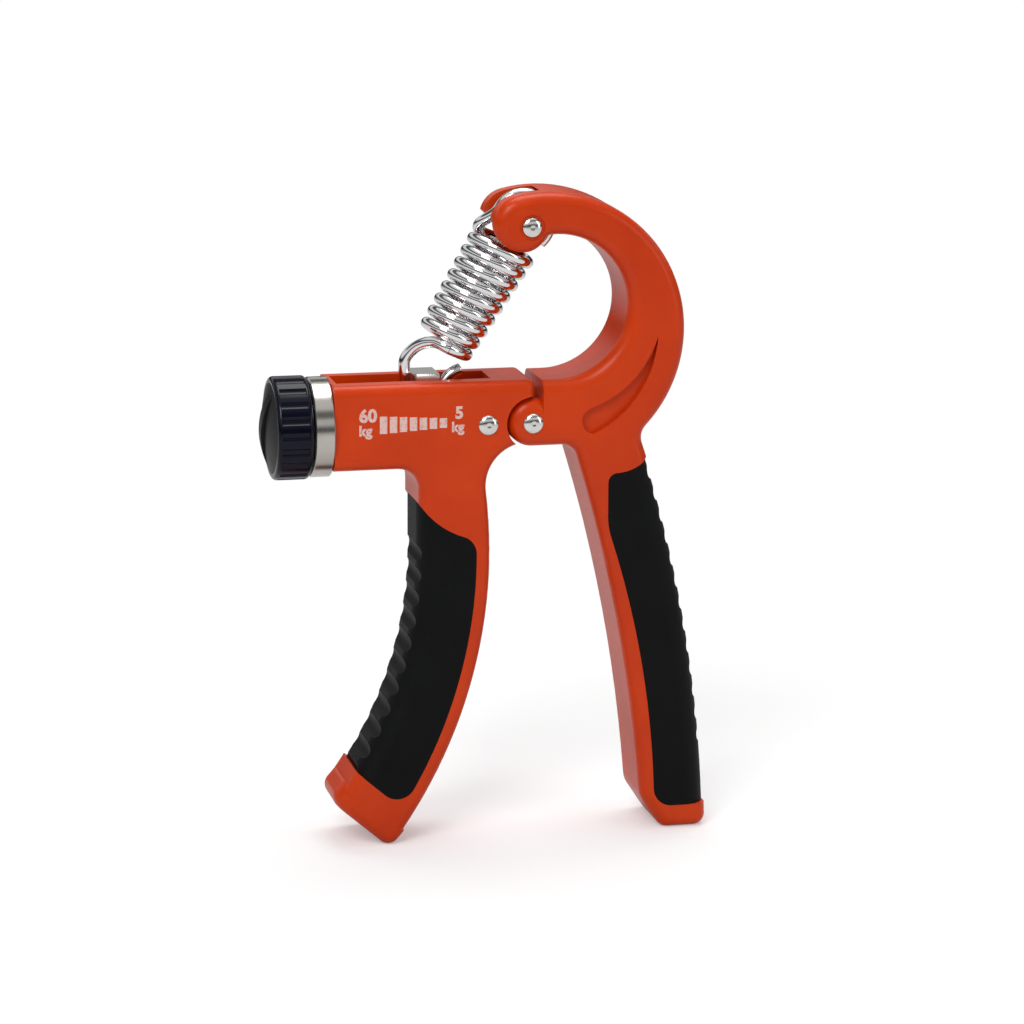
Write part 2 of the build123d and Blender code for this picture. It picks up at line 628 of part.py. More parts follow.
def end_ring():
    ring = along_x(RING_RADIUS, RING_LEFT, BEAM_LEFT)
    ring -= along_x(BOSS_RADIUS + FIT_CLEARANCE, RING_LEFT, BEAM_LEFT)
    rims = ring.edges().filter_by(GeomType.CIRCLE).sort_by(SortBy.RADIUS)[-2:]
    return chamfer(rims, RING_CHAMFER)


def thrust_washer():
    left = KNOB_RIGHT + MOVING_GAP - THRUST_THICKNESS
    washer = along_x(THRUST_RADIUS, left, RING_LEFT - RUN_CLEARANCE)
    return washer - along_x(JOURNAL_RADIUS + FIT_CLEARANCE, left, RING_LEFT)


def knob():
    body = along_x(KNOB_RADIUS, KNOB_LEFT, KNOB_RIGHT)
    rims = body.edges().filter_by(GeomType.CIRCLE)
    body = fillet(rims, KNOB_EDGE)
    middle = (KNOB_LEFT + KNOB_RIGHT) / 2
    flute_length = KNOB_LENGTH - 2 * KNOB_EDGE
    for n in range(KNOB_FLUTES):
        turn = 360 / KNOB_FLUTES * n
        flute = Pos(0, 0, KNOB_RADIUS + FLUTE_RADIUS - FLUTE_DEPTH) * Rot(0, 90, 0)
        body -= Pos(middle, 0, SCREW_Z) * Rot(turn, 0, 0) * flute * Cylinder(FLUTE_RADIUS, flute_length)
    body -= along_x(CAP_RADIUS + FIT_CLEARANCE, KNOB_LEFT, CAP_BACK)
    body -= along_x(FIXING_HEAD_RADIUS + FIT_CLEARANCE, CAP_BACK, RECESS_FLOOR)
    body -= along_x(JOURNAL_RADIUS + FIT_CLEARANCE, RECESS_FLOOR, KNOB_RIGHT)
    washer_seat = KNOB_RIGHT + MOVING_GAP - THRUST_THICKNESS
    return body - along_x(THRUST_RADIUS + RUN_CLEARANCE, washer_seat, KNOB_RIGHT)


def knob_cap():
    """A domed cap with a raised wing across it to turn the knob by."""
    cap = along_x(CAP_RADIUS, KNOB_LEFT, CAP_BACK)
    crown = Pos(KNOB_LEFT, 0, SCREW_Z) * Rot(0, -90, 0) * dome(CAP_RADIUS, CAP_DOME)
    wing = Pos(0, 0, SCREW_Z) * Rot(WING_TURN, 0, 0) * block(
        KNOB_LEFT - CAP_DOME - WING_HEIGHT,
        KNOB_LEFT,
        -WING_WIDTH / 2,
        WING_WIDTH / 2,
        -CAP_RADIUS,
        CAP_RADIUS,
    )
    bulge = Pos(KNOB_LEFT, 0, SCREW_Z) * Rot(0, -90, 0) * dome(CAP_RADIUS - 0.4, CAP_DOME + WING_HEIGHT)
    return cap + crown + (wing & bulge)


def knob_screw():
    """The screw under the cap that holds the knob on the lead screw."""
    head = along_x(FIXING_HEAD_RADIUS, CAP_BACK + FIT_CLEARANCE, RECESS_FLOOR)
    head += along_x(FIXING_SHANK_RADIUS, RECESS_FLOOR, RECESS_FLOOR + FIXING_SHANK_LENGTH)
    cross = FIXING_HEAD_RADIUS * 0.6
    for turn in (0, 90):
        bar = block(CAP_BACK, CAP_BACK + 0.6, -0.25, 0.25, -cross, cross)
        head -= Pos(0, 0, SCREW_Z) * Rot(turn, 0, 0) * bar
    return head


def lead_screw():
    screw = along_x(JOURNAL_RADIUS, RECESS_FLOOR, SLOT_LEFT)
    screw += along_x(SCREW_RADIUS, SLOT_LEFT + MOVING_GAP, CLIP_LEFT)
    screw += along_x(JOURNAL_RADIUS, SLOT_LEFT, SLOT_LEFT + MOVING_GAP)
    screw += along_x(CLIP_NECK_RADIUS, CLIP_LEFT, CLIP_LEFT + CLIP_THICKNESS)
    screw += along_x(SCREW_RADIUS, CLIP_LEFT + CLIP_THICKNESS, CLIP_LEFT + 2 * CLIP_THICKNESS)
    socket = FIXING_SHANK_LENGTH + MOVING_GAP
    return screw - along_x(FIXING_SHANK_RADIUS + FIT_CLEARANCE, RECESS_FLOOR, RECESS_FLOOR + socket)


def screw_collar():
    left = SLOT_LEFT + MOVING_GAP
    collar = along_x(COLLAR_RADIUS, left, left + COLLAR_LENGTH)
    return collar - along_x(SCREW_RADIUS + FIT_CLEARANCE, left, left + COLLAR_LENGTH)


def screw_clip():
    """The open clip in the neck at the lead screw's tail."""
    clip = along_x(CLIP_RADIUS, CLIP_LEFT + FIT_CLEARANCE, CLIP_LEFT + CLIP_THICKNESS - FIT_CLEARANCE)
    clip -= along_x(CLIP_NECK_RADIUS + FIT_CLEARANCE, CLIP_LEFT, CLIP_LEFT + CLIP_THICKNESS)
    gap = CLIP_NECK_RADIUS * 0.8
    low = SCREW_Z - CLIP_RADIUS
    return clip - block(CLIP_LEFT, CLIP_LEFT + CLIP_THICKNESS, -gap, gap, low, SCREW_Z)


def travelling_nut():
    """The nut block: threaded low down, with a window under the bar that the hook holds."""
    half_length = NUT_LENGTH / 2
    half_width = SLOT_WIDTH / 2 - NUT_SIDE_GAP
    floor = SLOT_FLOOR + NUT_SIDE_GAP
    nut = block(NUT_X - half_length, NUT_X + half_length, -half_width, half_width, floor, NUT_TOP)
    nut = chamfer(nut.edges(), NUT_CHAMFER)
    nut -= along_x(SCREW_RADIUS + RUN_CLEARANCE, NUT_X - half_length, NUT_X + half_length)
    half_window = NUT_WINDOW_WIDTH / 2
    window = (-half_window, half_window, NUT_WINDOW_BOTTOM, NUT_WINDOW_TOP)
    return nut - block(NUT_X - half_length, NUT_X + half_length, *window)


def wire(path):
    """Spring wire along a path."""
    return sweep(Plane(path @ 0, z_dir=path % 0) * Circle(WIRE_RADIUS), path=path)


def coil_path():
    """The coil from its front bottom end, widening towards the arm."""
    place, length = coil_place()
    cone = degrees(atan2(COIL_TOP_RADIUS - COIL_BOTTOM_RADIUS, length))
    helix = Helix(length / COIL_TURNS, length, COIL_BOTTOM_RADIUS, cone_angle=cone)
    return place * helix


def spring_coil():
    return wire(coil_path())


def spring_upper_hook():
    """From the coil's end at the back, up round the bush on the pin."""
    coil = coil_path()
    radius = BUSH_RADIUS + WIRE_RADIUS + MOVING_GAP
    turn = HOOK_END_ANGLE - HOOK_START_ANGLE
    bend = Plane.XZ * CenterArc((PIN_X, PIN_Z), radius, HOOK_START_ANGLE, turn)
    rise = Spline(coil @ 1, PIN + HOOK_RISE, bend @ 0, tangents=[coil % 1, bend % 0])
    return wire(Wire([rise, bend]))


def spring_lower_hook():
    """From under the nut's bar, up beside the nut and over to the coil's front."""
    coil = coil_path()
    reach = NUT_LENGTH / 2 + WIRE_RADIUS + MOVING_GAP
    left, right = NUT_X - reach, NUT_X + reach
    seat = NUT_WINDOW_TOP - WIRE_RADIUS - MOVING_GAP
    corners = [
        (right + HOOK_TAIL_LEAN, NUT_TOP),
        (right, seat + 2 * HOOK_BEND),
        (right, seat),
        (left, seat),
        (left, NUT_TOP + HOOK_BEND),
    ]
    cradle = Plane.XZ * FilletPolyline(*corners, radius=HOOK_BEND)
    knee, over = HOOK_LOWER_POINTS
    lead = Spline(cradle @ 1, knee, over, coil @ 0, tangents=[cradle % 1, coil % 0])
    return wire(Wire([*cradle.edges(), lead]))


def hook_bush():
    """The flanged bush on the arm's pin that the spring hangs from."""
    half = EAR_SLOT_WIDTH / 2 - MOVING_GAP / 2
    bush = along_y(BUSH_RADIUS, PIN_X, PIN_Z, -half, half)
    for low in (-half, half - BUSH_FLANGE_WIDTH):
        bush += along_y(BUSH_FLANGE_RADIUS, PIN_X, PIN_Z, low, low + BUSH_FLANGE_WIDTH)
    return bush - along_y(RIVET_SHANK_RADIUS + RUN_CLEARANCE, PIN_X, PIN_Z)


def scale_print():
    """Bars of printed ink on the beam's front, shrinking towards the light end."""
    bars = []
    for n in range(BAR_COUNT):
        left = BAR_LEFT + BAR_PITCH * n
        height = BAR_HEIGHT_FIRST + (BAR_HEIGHT_LAST - BAR_HEIGHT_FIRST) * n / (BAR_COUNT - 1)
        low, high = BAR_Z - height / 2, BAR_Z + height / 2
        bars.append(block(left, left + BAR_WIDTH, -HALF - PRINT_THICKNESS, -HALF, low, high))
    return bars


def all_parts():
    """Every piece by its node name, still laid out about the hinge."""
    recess = RIVET_RECESS_DEPTH
    return {
        "left_body": left_body(),
        "left_grip": left_grip(),
        "hinge_plate": hinge_plate(),
        "fixing_rivet": rivet(-FIXING_RIVET_OFFSET, 0),
        "fixing_rivet_cap": rivet_cap(-FIXING_RIVET_OFFSET, 0),
        "end_bearing": end_bearing(),
        "end_ring": end_ring(),
        "scale_print": scale_print(),
        "knob": knob(),
        "knob_cap": knob_cap(),
        "knob_screw": knob_screw(),
        "thrust_washer": thrust_washer(),
        "lead_screw": lead_screw(),
        "screw_collar": screw_collar(),
        "screw_clip": screw_clip(),
        "travelling_nut": travelling_nut(),
        "right_body": right_body(),
        "right_grip": right_grip(),
        "hinge_rivet": rivet(0, 0),
        "hinge_rivet_cap": rivet_cap(0, 0),
        "hinge_washers": hinge_washers(),
        "arm_rivet": rivet(PIN_X, PIN_Z, recess),
        "arm_rivet_cap": rivet_cap(PIN_X, PIN_Z, recess),
        "hook_bush": hook_bush(),
        "spring_upper_hook": spring_upper_hook(),
        "spring_coil": spring_coil(),
        "spring_lower_hook": spring_lower_hook(),
    }


def solids_of(piece):
    """The solids of a piece, or of each piece in a list."""
    pieces = piece if isinstance(piece, list) else [piece]
    return [solid for each in pieces for solid in each.solids()]


def main():
    parts = {name: solids_of(piece) for name, piece in all_parts().items()}
    boxes = [solid.bounding_box() for solids in parts.values() for solid in solids]
    left, right = min(box.min.X for box in boxes), max(box.max.X for box in boxes)
    front, back = min(box.min.Y for box in boxes), max(box.max.Y for box in boxes)
    bottom = min(box.min.Z for box in boxes)
    origin = Pos(-(left + right) / 2, -(front + back) / 2, -bottom)
    print("the hinge axis lies at", origin.position)
    os.makedirs("parts", exist_ok=True)
    for name, solids in parts.items():
        moved = [origin * solid for solid in solids]
        shape = moved[0] if len(moved) == 1 else Compound(children=moved)
        export_step(shape, f"parts/{name}.step")


if __name__ == "__main__":
    main()
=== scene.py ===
import json
from math import cos, pi, radians, sin

import bmesh
import bpy
from mathutils import Matrix, Vector


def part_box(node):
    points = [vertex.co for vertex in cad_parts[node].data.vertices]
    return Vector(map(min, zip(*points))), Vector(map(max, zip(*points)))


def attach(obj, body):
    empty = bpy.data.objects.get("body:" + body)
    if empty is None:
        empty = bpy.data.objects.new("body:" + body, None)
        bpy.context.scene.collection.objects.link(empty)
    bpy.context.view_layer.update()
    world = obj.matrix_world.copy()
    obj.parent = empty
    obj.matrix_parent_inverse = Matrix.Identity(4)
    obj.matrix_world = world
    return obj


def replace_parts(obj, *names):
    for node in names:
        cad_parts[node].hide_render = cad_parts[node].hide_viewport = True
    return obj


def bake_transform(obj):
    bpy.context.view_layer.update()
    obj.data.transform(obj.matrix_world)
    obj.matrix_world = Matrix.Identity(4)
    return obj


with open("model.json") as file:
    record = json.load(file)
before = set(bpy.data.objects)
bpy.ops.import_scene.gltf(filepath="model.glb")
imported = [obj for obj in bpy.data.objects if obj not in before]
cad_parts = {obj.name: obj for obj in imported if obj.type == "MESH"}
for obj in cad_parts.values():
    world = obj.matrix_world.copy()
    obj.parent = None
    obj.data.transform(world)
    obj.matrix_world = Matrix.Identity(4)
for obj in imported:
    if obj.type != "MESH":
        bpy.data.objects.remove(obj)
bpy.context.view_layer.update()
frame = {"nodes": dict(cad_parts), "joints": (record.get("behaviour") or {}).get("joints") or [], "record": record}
JOINTS = {j["name"]: j for j in frame["joints"]}
HINGE = Vector(JOINTS["squeeze"]["pos_m"])
PIN = Vector(JOINTS["bush_swing"]["pos_m"])
MM = 0.001


def at(x, y, z):
    """A point given in millimetres from the hinge, in the row frame."""
    return HINGE + Vector((x, y, z)) * MM


# ---------------------------------------------------------------- materials

def new_material(name):
    mat = bpy.data.materials.new(name)
    mat.use_nodes = True
    nodes = mat.node_tree.nodes
    shader = nodes.get("Principled BSDF")
    return mat, nodes, mat.node_tree.links, shader


def node(nodes, kind, **values):
    made = nodes.new(kind)
    for key, value in values.items():
        if key in made.inputs:
            made.inputs[key].default_value = value
        else:
            setattr(made, key, value)
    return made


def coords(nodes, links, scale=(1, 1, 1)):
    tex = nodes.new("ShaderNodeTexCoord")
    mapping = nodes.new("ShaderNodeMapping")
    mapping.inputs["Scale"].default_value = scale
    links.new(tex.outputs["Object"], mapping.inputs["Vector"])
    return mapping.outputs["Vector"]


def noise(nodes, links, vector, scale, detail=3.0, rough=0.55):
    tex = node(nodes, "ShaderNodeTexNoise", Scale=scale, Detail=detail, Roughness=rough)
    links.new(vector, tex.inputs["Vector"])
    return tex.outputs["Fac"]


def ramp(nodes, links, value, stops):
    made = nodes.new("ShaderNodeValToRGB")
    links.new(value, made.inputs["Fac"])
    elements = made.color_ramp.elements
    while len(elements) < len(stops):
        elements.new(0.5)
    for element, (place, colour) in zip(elements, stops):
        element.position = place
        element.color = (*colour, 1) if len(colour) == 3 else colour
    return made.outputs["Color"]


def spread(nodes, links, value, low, high, start=0.0, end=1.0):
    made = nodes.new("ShaderNodeMapRange")
    links.new(value, made.inputs["Value"])
    made.inputs["From Min"].default_value = start
    made.inputs["From Max"].default_value = end
    made.inputs["To Min"].default_value = low
    made.inputs["To Max"].default_value = high
    return made.outputs["Result"]


def bump(nodes, links, height, strength, distance, under=None):
    made = node(nodes, "ShaderNodeBump", Strength=strength, Distance=distance)
    links.new(height, made.inputs["Height"])
    if under is not None:
        links.new(under, made.inputs["Normal"])
    return made.outputs["Normal"]


def orange_plastic():
    """Moulded orange: faint flow marks, a fine grain with specks of dust, a soft gloss."""
    mat, nodes, links, shader = new_material("orange_plastic")
    vector = coords(nodes, links)
    flow = noise(nodes, links, vector, 55, 3, 0.5)
    base = ramp(nodes, links, flow, [(0.3, (0.52, 0.034, 0.0008)), (0.7, (0.61, 0.045, 0.0010))])
    specks = noise(nodes, links, vector, 1700, 2, 0.6)
    mask = spread(nodes, links, specks, 0.0, 0.55, 0.70, 0.80)
    mix = nodes.new("ShaderNodeMix")
    mix.data_type = "RGBA"
    links.new(mask, mix.inputs["Factor"])
    links.new(base, mix.inputs[6])
    mix.inputs[7].default_value = (0.66, 0.15, 0.05, 1)
    links.new(mix.outputs[2], shader.inputs["Base Color"])
    fine = noise(nodes, links, vector, 900, 3, 0.6)
    links.new(spread(nodes, links, fine, 0.24, 0.36), shader.inputs["Roughness"])
    grain = bump(nodes, links, fine, 0.14, 0.00006)
    wave = noise(nodes, links, vector, 120, 2, 0.5)
    links.new(bump(nodes, links, wave, 0.10, 0.0003, grain), shader.inputs["Normal"])
    shader.inputs["IOR"].default_value = 1.48
    shader.inputs["Specular IOR Level"].default_value = 0.24
    shader.inputs["Subsurface Weight"].default_value = 0.06
    shader.inputs["Subsurface Radius"].default_value = (0.002, 0.0006, 0.0002)
    shader.inputs["Subsurface Scale"].default_value = 0.5
    return mat


def black_rubber():
    """Soft black elastomer: a pebbled skin that scatters the light, dust in the pores."""
    mat, nodes, links, shader = new_material("black_rubber")
    vector = coords(nodes, links)
    cloud = noise(nodes, links, vector, 90, 4, 0.6)
    base = ramp(nodes, links, cloud, [(0.3, (0.0012, 0.0014, 0.0016)), (0.75, (0.0028, 0.0031, 0.0034))])
    dust = noise(nodes, links, vector, 2100, 2, 0.5)
    mask = spread(nodes, links, dust, 0.0, 0.4, 0.72, 0.82)
    mix = nodes.new("ShaderNodeMix")
    mix.data_type = "RGBA"
    links.new(mask, mix.inputs["Factor"])
    links.new(base, mix.inputs[6])
    mix.inputs[7].default_value = (0.05, 0.055, 0.055, 1)
    links.new(mix.outputs[2], shader.inputs["Base Color"])
    links.new(spread(nodes, links, cloud, 0.48, 0.62), shader.inputs["Roughness"])
    pebble = nodes.new("ShaderNodeTexVoronoi")
    pebble.inputs["Scale"].default_value = 1500
    links.new(vector, pebble.inputs["Vector"])
    skin = bump(nodes, links, pebble.outputs["Distance"], 0.20, 0.00008)
    links.new(bump(nodes, links, cloud, 0.08, 0.0004, skin), shader.inputs["Normal"])
    shader.inputs["Specular IOR Level"].default_value = 0.13
    return mat


def metal(name, colour, rough, scratch=(60, 60, 60), strength=0.1, tint=0.12):
    """Bare metal with fine scratches stretched along one direction and cloudy stains."""
    mat, nodes, links, shader = new_material(name)
    shader.inputs["Metallic"].default_value = 1.0
    vector = coords(nodes, links)
    cloud = noise(nodes, links, vector, 160, 4, 0.6)
    dark = tuple(c * (1 - tint) for c in colour)
    links.new(ramp(nodes, links, cloud, [(0.3, dark), (0.7, colour)]), shader.inputs["Base Color"])
    lines = noise(nodes, links, coords(nodes, links, scratch), 60, 3, 0.7)
    links.new(spread(nodes, links, lines, rough * 0.7, rough * 1.35), shader.inputs["Roughness"])
    links.new(bump(nodes, links, lines, strength, 0.00005), shader.inputs["Normal"])
    return mat


def dark_plastic(name, low, high, rough, grain):
    """Hard moulded plastic with a light grain."""
    mat, nodes, links, shader = new_material(name)
    vector = coords(nodes, links)
    cloud = noise(nodes, links, vector, 130, 3, 0.6)
    links.new(ramp(nodes, links, cloud, [(0.3, low), (0.7, high)]), shader.inputs["Base Color"])
    fine = noise(nodes, links, vector, 1300, 3, 0.6)
    links.new(spread(nodes, links, fine, rough * 0.85, rough * 1.2), shader.inputs["Roughness"])
    links.new(bump(nodes, links, fine, grain, 0.00006), shader.inputs["Normal"])
    shader.inputs["Specular IOR Level"].default_value = 0.20
    return mat


def ink():
    """Pad-printed ink, thin in places so that the grain shows."""
    mat, nodes, links, shader = new_material("white_ink")
    vector = coords(nodes, links)
    wear = noise(nodes, links, vector, 1400, 3, 0.65)
    base = ramp(nodes, links, wear, [(0.32, (0.62, 0.26, 0.20)), (0.48, (0.74, 0.50, 0.46))])
    links.new(base, shader.inputs["Base Color"])
    links.new(spread(nodes, links, wear, 0.4, 0.6), shader.inputs["Roughness"])
    return mat


MATERIALS = {
    "orange_plastic": orange_plastic(),
    "black_rubber": black_rubber(),
    "rivet_steel": metal("rivet_steel", (0.78, 0.77, 0.74), 0.16, (8, 8, 8), 0.12),
    "zinc_steel": metal("zinc_steel", (0.66, 0.67, 0.70), 0.28, (4, 60, 60), 0.15),
    "nut_steel": metal("nut_steel", (0.72, 0.71, 0.69), 0.22, (60, 4, 4), 0.2),
    "brushed_ring": metal("brushed_ring", (0.56, 0.53, 0.49), 0.20, (70, 5, 5), 0.30),
    "chrome_spring": metal("chrome_spring", (0.84, 0.84, 0.85), 0.07, (20, 20, 20), 0.05, 0.06),
    "knob_plastic": dark_plastic("knob_plastic", (0.0010, 0.0014, 0.006), (0.0022, 0.003, 0.012), 0.16, 0.03),
    "cap_plastic": dark_plastic("cap_plastic", (0.004, 0.004, 0.0045), (0.008, 0.008, 0.0085), 0.42, 0.10),
    "black_nylon": dark_plastic("black_nylon", (0.012, 0.012, 0.012), (0.02, 0.02, 0.02), 0.5, 0.1),
    "white_ink": ink(),
}
SLOTS = {s["node"]: s["material_slot"] for s in frame["record"]["subparts"]}
for name, obj in frame["nodes"].items():
    obj.data.materials.clear()
    obj.data.materials.append(MATERIALS[SLOTS[name]])


# ---------------------------------------------------------------- mesh helpers

def piece(name, verts, faces, material, body=None, smooth=True):
    mesh = bpy.data.meshes.new(name)
    mesh.from_pydata([tuple(v) for v in verts], [], faces)
    mesh.validate()
    bm = bmesh.new()
    bm.from_mesh(mesh)
    bmesh.ops.remove_doubles(bm, verts=bm.verts, dist=1e-7)
    bmesh.ops.recalc_face_normals(bm, faces=bm.faces)
    bm.to_mesh(mesh)
    bm.free()
    for poly in mesh.polygons:
        poly.use_smooth = smooth
    obj = bpy.data.objects.new(name, mesh)
    bpy.context.scene.collection.objects.link(obj)
    mesh.materials.append(MATERIALS[material])
    if body:
        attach(obj, body)
    return obj


def smooth_curve(points, steps, head=None, tail=None):
    """A smooth line through the points, with given directions at its ends."""
    pts = [Vector(p) for p in points]
    tangents = []
    for i, p in enumerate(pts):
        before, after = pts[max(i - 1, 0)], pts[min(i + 1, len(pts) - 1)]
        tangents.append((after - before).normalized())
    if head is not None:
        tangents[0] = Vector(head).normalized()
    if tail is not None:
        tangents[-1] = Vector(tail).normalized()
    out = []
    for i in range(len(pts) - 1):
        a, b = pts[i], pts[i + 1]
        span = (b - a).length
        ta, tb = tangents[i] * span, tangents[i + 1] * span
        for k in range(steps):
            t = k / steps
            h = (2 * t**3 - 3 * t**2 + 1, t**3 - 2 * t**2 + t, -2 * t**3 + 3 * t**2, t**3 - t**2)
            out.append(a * h[0] + ta * h[1] + b * h[2] + tb * h[3])
    out.append(pts[-1])
    return out


def tube(name, path, radius, material, body=None, sides=24, ends=(True, True)):
    """Round wire along a path, with softly domed cut ends."""
    path = [Vector(p) for p in path]
    verts, faces = [], []
    direction = (path[1] - path[0]).normalized()
    side = direction.orthogonal().normalized()
    rings = []
    for i, p in enumerate(path):
        before, after = path[max(i - 1, 0)], path[min(i + 1, len(path) - 1)]
        heading = (after - before).normalized()
        side = (direction.rotation_difference(heading) @ side).normalized()
        direction = heading
        rings.append((p, heading, side, radius))
    if ends[0]:
        p, h, s, r = rings[0]
        rings = [(p - h * r * 0.16, h, s, r * 0.55), (p - h * r * 0.10, h, s, r * 0.85)] + rings
    if ends[1]:
        p, h, s, r = rings[-1]
        rings = rings + [(p + h * r * 0.10, h, s, r * 0.85), (p + h * r * 0.16, h, s, r * 0.55)]
    for p, h, s, r in rings:
        other = h.cross(s)
        for k in range(sides):
            a = 2 * pi * k / sides
            verts.append(p + (s * cos(a) + other * sin(a)) * r)
    for i in range(len(rings) - 1):
        for k in range(sides):
            m = (k + 1) % sides
            faces.append((i * sides + k, i * sides + m, (i + 1) * sides + m, (i + 1) * sides + k))
    if ends[0]:
        faces.append(tuple(range(sides))[::-1])
    if ends[1]:
        last = (len(rings) - 1) * sides
        faces.append(tuple(range(last, last + sides)))
    return piece(name, verts, faces, material, body)


def lathe(name, profile, place, axis, material, body, sides=96):
    """A profile of (along, radius) turned about an axis and closed at both ends."""
    axis = Vector(axis).normalized()
    u = axis.orthogonal().normalized()
    w = axis.cross(u)
    verts, faces = [], []
    for along, radius in profile:
        for k in range(sides):
            a = 2 * pi * k / sides
            verts.append(Vector(place) + axis * along + (u * cos(a) + w * sin(a)) * radius)
    for i in range(len(profile) - 1):
        for k in range(sides):
            m = (k + 1) % sides
            faces.append((i * sides + k, i * sides + m, (i + 1) * sides + m, (i + 1) * sides + k))
    faces.append(tuple(range(sides))[::-1])
    last = (len(profile) - 1) * sides
    faces.append(tuple(range(last, last + sides)))
    return piece(name, verts, faces, material, body)


# ---------------------------------------------------------------- spring

WIRE = 1.36 * MM
COIL_LOW, COIL_TOP = at(-19.3, 0, 17.7), at(-5.0, 0, 40.9)
COIL_TURNS = 8.5
coil_axis = (COIL_TOP - COIL_LOW).normalized()
front = Vector((0, -1, 0))
across = coil_axis.cross(front)
coil_length = (COIL_TOP - COIL_LOW).length


def coil_point(t):
    angle = 2 * pi * COIL_TURNS * t
    radius = (5.9 + (7.0 - 5.9) * t) * MM
    return COIL_LOW + coil_axis * (t * coil_length) + (front * cos(angle) + across * sin(angle)) * radius


def coil_heading(t, step=1e-4):
    return (coil_point(t + step) - coil_point(t - step)).normalized()


def coil_run(low, high):
    count = int((high - low) * COIL_TURNS * 72)
    return [coil_point(low + (high - low) * i / count) for i in range(count + 1)]


SPLIT = 0.42
upper = tube("spring_coil_upper", coil_run(SPLIT, 1), WIRE, "chrome_spring", ends=(False, False))
lower = tube("spring_coil_lower", coil_run(0, SPLIT), WIRE, "chrome_spring", ends=(False, False))
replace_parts(upper, "spring_coil")
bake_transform(upper)
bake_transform(lower)

HOOK_R = 6.6 * MM


def about_pin(angle, radius=HOOK_R):
    return PIN + Vector((cos(radians(angle)), 0, sin(radians(angle)))) * radius


arc = [about_pin(150 - i * 2.5) for i in range(81)]
rise = smooth_curve(
    [coil_point(1), PIN + Vector((-9.8, 3.6, -1.4)) * MM, arc[0]],
    24,
    coil_heading(1),
    arc[1] - arc[0],
)
hook = tube("spring_hook_upper", rise[:-1] + arc, WIRE, "chrome_spring", "spring_top", ends=(False, True))
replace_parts(hook, "spring_upper_hook")

nut_low, nut_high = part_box("travelling_nut")
nut_x = (nut_low.x + nut_high.x) / 2
reach = (nut_high.x - nut_low.x) / 2 + WIRE + 0.3 * MM
seat_z = HINGE.z + 5.9 * MM
bend_r = 1.8 * MM


def flat_arc(cx, cz, start, end, steps=12):
    out = []
    for i in range(steps + 1):
        a = radians(start + (end - start) * i / steps)
        out.append(Vector((cx + cos(a) * bend_r, 0, cz + sin(a) * bend_r)))
    return out


right_x, left_x = nut_x + reach, nut_x - reach
cradle = smooth_curve(
    [
        (right_x + 3.8 * MM, 0, nut_high.z + 0.2 * MM),
        (right_x + 1.9 * MM, 0, nut_high.z - 0.7 * MM),
        (right_x + 0.4 * MM, 0, nut_high.z - 2.2 * MM),
        (right_x, 0, seat_z + bend_r + 0.3 * MM),
    ],
    8,
    (-0.9, 0, -0.42),
    (0, 0, -1),
)
cradle += flat_arc(right_x - bend_r, seat_z + bend_r, 0, -90)
cradle += flat_arc(left_x + bend_r, seat_z + bend_r, -90, -180)
cradle += [Vector((left_x, 0, seat_z + bend_r + i * 0.6 * MM)) for i in range(1, 10)]
top = Vector((left_x, 0, nut_high.z + bend_r))
lead = smooth_curve(
    [top, at(-26.4, -0.9, 17.2), at(-22.6, -3.4, 18.9), coil_point(0)],
    20,
    (0, 0, 1),
    coil_heading(0),
)
low_hook = tube("spring_hook_lower", cradle + lead, WIRE, "chrome_spring", "spring_low", ends=(True, False))
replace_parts(low_hook, "spring_lower_hook")

# ---------------------------------------------------------------- printed scale

INK_THICKNESS = 0.06 * MM


def lettering(name, text, x, z, height):
    """Flat raised characters on the beam's front face, from their lower left corner."""
    curve = bpy.data.curves.new(name + "_curve", "FONT")
    curve.body = text
    curve.size = 1.0
    curve.resolution_u = 6
    curve.offset = 0.04
    curve.extrude = 0.5
    maker = bpy.data.objects.new(name + "_maker", curve)
    bpy.context.scene.collection.objects.link(maker)
    graph = bpy.context.evaluated_depsgraph_get()
    source = bpy.data.meshes.new_from_object(maker.evaluated_get(graph))
    bpy.data.objects.remove(maker)
    points = [v.co.copy() for v in source.vertices]
    faces = [tuple(p.vertices) for p in source.polygons]
    low = Vector((min(p.x for p in points), min(p.y for p in points), 0))
    scale = height / (max(p.y for p in points) - low.y)
    front_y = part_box("scale_print")[0].y
    thick = INK_THICKNESS
    start = at(x, 0, z)
    verts = []
    for p in points:
        flat = (p - low) * scale * MM
        verts.append((start.x + flat.x, front_y + thick * (0.5 - p.z), start.z + flat.y))
    bpy.data.meshes.remove(source)
    return piece(name, verts, faces, "white_ink", "root", smooth=False)


lettering("scale_high", "60", -41.2, 1.7, 3.3)
lettering("scale_high_unit", "kg", -41.2, -2.2, 3.3)
lettering("scale_low", "5", -18.6, 1.8, 3.0)
lettering("scale_low_unit", "kg", -19.4, -2.0, 3.2)

# ---------------------------------------------------------------- lead screw and rivets

screw_low, screw_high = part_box("lead_screw")
screw_mid = (screw_low + screw_high) / 2
RADIUS = (screw_high.z - screw_low.z) / 2
PLAIN_HEAD = 9.3 * MM
PLAIN_TAIL = 1.0 * MM
PLAIN_STEP = 0.4 * MM
THREAD_PITCH = 1.0 * MM
THREAD_DEPTH = 0.34 * MM
slot_left = screw_low.x + PLAIN_HEAD
slot_right = screw_high.x - PLAIN_TAIL


